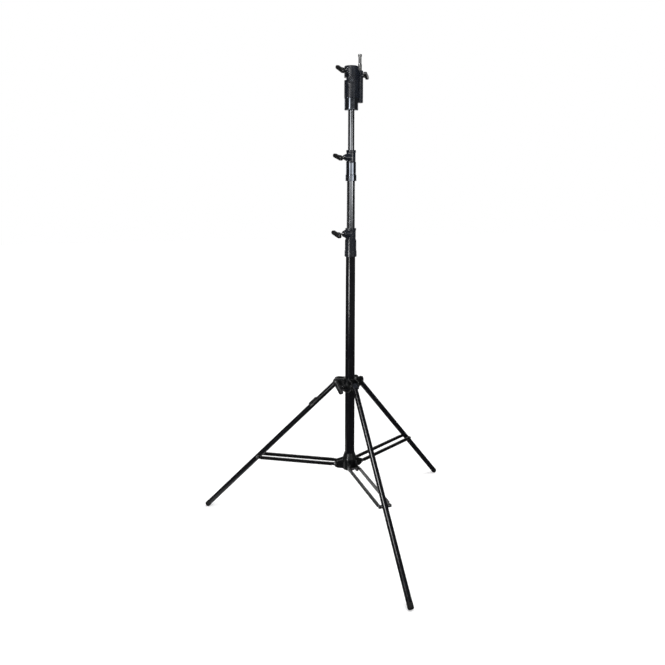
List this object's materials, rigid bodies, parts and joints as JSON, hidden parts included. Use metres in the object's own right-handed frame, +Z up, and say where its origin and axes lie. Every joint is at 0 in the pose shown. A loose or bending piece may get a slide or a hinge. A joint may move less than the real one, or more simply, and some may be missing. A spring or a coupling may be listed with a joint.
{
  "type": "combo stand",
  "caption": "Folding three-leg floor stand with two telescoping risers, T-handle locks and a head with a spigot socket beside a stud.",
  "frame": {"origin": "centre of the footprint, on the floor under the three feet", "axes": "+Z up along the column, front leg towards -Y, stud on the +X side of the head"},
  "size_m": [1.1168, 0.9704, 1.9666],
  "materials": {
    "gloss_black": "gloss black powder coat on steel",
    "black_casting": "blue-black satin coat on cast aluminium",
    "dark_chrome": "dark chrome plate on steel tube",
    "bright_chrome": "bright chrome plate on steel",
    "zinc_steel": "bright zinc plate",
    "brace_black": "satin black paint on steel strip",
    "black_plastic": "moulded black plastic, fine grain",
    "black_rubber": "moulded black rubber",
    "nylon": "black nylon",
    "brass": "plain brass"
  },
  "bodies": {
    "base": {"base_tube": "gloss_black", "hub_casting": "gloss_black", "column_end_cap": "black_plastic", "hub_bolt_right": "zinc_steel", "hub_bolt_left": "zinc_steel", "hub_bolt_front": "zinc_steel", "base_collar": "black_casting", "base_collar_bush": "nylon", "base_collar_rivet": "zinc_steel", "base_lock_pad": "brass"},
    "base_lock": {"base_lock_knob": "black_plastic", "base_lock_screw": "zinc_steel"},
    "riser_1_guide": {"riser_1_foot_bush": "nylon"},
    "riser_1": {"riser_1_tube": "dark_chrome", "riser_1_collar": "black_casting", "riser_1_collar_bush": "nylon", "riser_1_collar_rivet": "zinc_steel", "riser_1_lock_pad": "brass"},
    "riser_1_lock": {"riser_1_lock_knob": "black_plastic", "riser_1_lock_screw": "zinc_steel"},
    "riser_2_guide": {"riser_2_foot_bush": "nylon"},
    "riser_2": {"riser_2_tube": "dark_chrome", "head_casting": "black_casting", "head_sleeve": "black_casting", "socket_stop_screw": "zinc_steel", "socket_lock_pad": "brass"},
    "socket_lock": {"socket_lock_knob": "black_plastic", "socket_lock_screw": "zinc_steel"},
    "stud_lock": {"stud_lock_knob": "black_plastic", "stud_lock_screw": "zinc_steel"},
    "stud": {"stud_pin": "bright_chrome"},
    "leg_collar": {"leg_collar": "gloss_black", "leg_lock_pad": "brass", "leg_bolt_right": "zinc_steel", "leg_bolt_left": "zinc_steel", "leg_bolt_front": "zinc_steel"},
    "leg_lock": {"leg_lock_knob": "black_plastic", "leg_lock_screw": "zinc_steel"},
    "leg_right": {"leg_plug_right": "black_casting", "leg_tube_right": "gloss_black", "foot_right": "black_rubber"},
    "leg_left": {"leg_plug_left": "black_casting", "leg_tube_left": "gloss_black", "foot_left": "black_rubber", "leg_clip": "black_plastic"},
    "leg_front": {"leg_plug_front": "black_casting", "leg_tube_front": "gloss_black", "foot_front": "black_rubber"},
    "brace_right": {"brace_strip_right_a": "brace_black", "brace_strip_right_b": "brace_black", "brace_bolt_right": "zinc_steel", "brace_nut_right": "zinc_steel"},
    "brace_left": {"brace_strip_left_a": "brace_black", "brace_strip_left_b": "brace_black", "brace_bolt_left": "zinc_steel", "brace_nut_left": "zinc_steel"},
    "brace_front": {"brace_strip_front_a": "brace_black", "brace_strip_front_b": "brace_black", "brace_bolt_front": "zinc_steel", "brace_nut_front": "zinc_steel"}
  },
  "joints": [
    {"name": "riser_1_slide", "type": "slide", "parent": "base", "child": "riser_1_guide", "axis": [0, 0, 1], "range_m": [-0.1975, 0.63]},
    {"name": "riser_1_swivel", "type": "hinge", "parent": "riser_1_guide", "child": "riser_1", "pos_m": [0, 0.15736, 1.4286], "axis": [0, 0, 1], "continuous": true},
    {"name": "riser_2_slide", "type": "slide", "parent": "riser_1", "child": "riser_2_guide", "axis": [0, 0, 1], "range_m": [-0.1665, 0.74]},
    {"name": "riser_2_swivel", "type": "hinge", "parent": "riser_2_guide", "child": "riser_2", "pos_m": [0, 0.15736, 1.7256], "axis": [0, 0, 1], "continuous": true},
    {"name": "stud_slide", "type": "slide", "parent": "riser_2", "child": "stud", "axis": [0, 0, 1], "range_m": [-0.0515, 0.04]},
    {"name": "leg_collar_slide", "type": "slide", "parent": "base", "child": "leg_collar", "axis": [0, 0, 1], "range_m": [0, 0.48495]},
    {"name": "leg_fold_right", "type": "hinge", "parent": "leg_collar", "child": "leg_right", "pos_m": [0.04936, 0.18586, 0.58056], "axis": [-0.5, 0.866, 0], "range_deg": [0, 43.2]},
    {"name": "leg_fold_left", "type": "hinge", "parent": "leg_collar", "child": "leg_left", "pos_m": [-0.04936, 0.18586, 0.58056], "axis": [-0.5, -0.866, 0], "range_deg": [0, 43.2]},
    {"name": "leg_fold_front", "type": "hinge", "parent": "leg_collar", "child": "leg_front", "pos_m": [0, 0.10036, 0.58056], "axis": [1, 0, 0], "range_deg": [0, 43.2]},
    {"name": "brace_fold_right", "type": "hinge", "parent": "base", "child": "brace_right", "pos_m": [0.04936, 0.18586, 0.2405], "axis": [0.5, -0.866, 0], "range_deg": [0, 87.23]},
    {"name": "brace_fold_left", "type": "hinge", "parent": "base", "child": "brace_left", "pos_m": [-0.04936, 0.18586, 0.2405], "axis": [0.5, 0.866, 0], "range_deg": [0, 87.23]},
    {"name": "brace_fold_front", "type": "hinge", "parent": "base", "child": "brace_front", "pos_m": [0, 0.10036, 0.2405], "axis": [-1, 0, 0], "range_deg": [0, 87.23]},
    {"name": "base_lock_turn", "type": "hinge", "parent": "base", "child": "base_lock", "pos_m": [0, 0.15736, 1.20695], "axis": [-0.9397, -0.342, 0], "range_deg": [0, 450]},
    {"name": "riser_1_lock_turn", "type": "hinge", "parent": "riser_1", "child": "riser_1_lock", "pos_m": [0, 0.15736, 1.5276], "axis": [-0.9397, -0.342, 0], "range_deg": [0, 450]},
    {"name": "socket_lock_turn", "type": "hinge", "parent": "riser_2", "child": "socket_lock", "pos_m": [0, 0.15736, 1.8936], "axis": [-0.9397, -0.342, 0], "range_deg": [0, 450]},
    {"name": "stud_lock_turn", "type": "hinge", "parent": "riser_2", "child": "stud_lock", "pos_m": [0.04038, 0.16448, 1.8746], "axis": [0.848, -0.5299, 0], "range_deg": [0, 450]},
    {"name": "leg_lock_turn", "type": "hinge", "parent": "leg_collar", "child": "leg_lock", "pos_m": [0, 0.15736, 0.56856], "axis": [-0.9272, -0.3746, 0], "range_deg": [0, 450]}
  ],
  "couplings": [
    {"joint": "leg_fold_right", "follows": "leg_collar_slide", "rad_per_m": 1.5548},
    {"joint": "leg_fold_left", "follows": "leg_collar_slide", "rad_per_m": 1.5548},
    {"joint": "leg_fold_front", "follows": "leg_collar_slide", "rad_per_m": 1.5548},
    {"joint": "brace_fold_right", "follows": "leg_collar_slide", "rad_per_m": 3.1394},
    {"joint": "brace_fold_left", "follows": "leg_collar_slide", "rad_per_m": 3.1394},
    {"joint": "brace_fold_front", "follows": "leg_collar_slide", "rad_per_m": 3.1394}
  ]
}
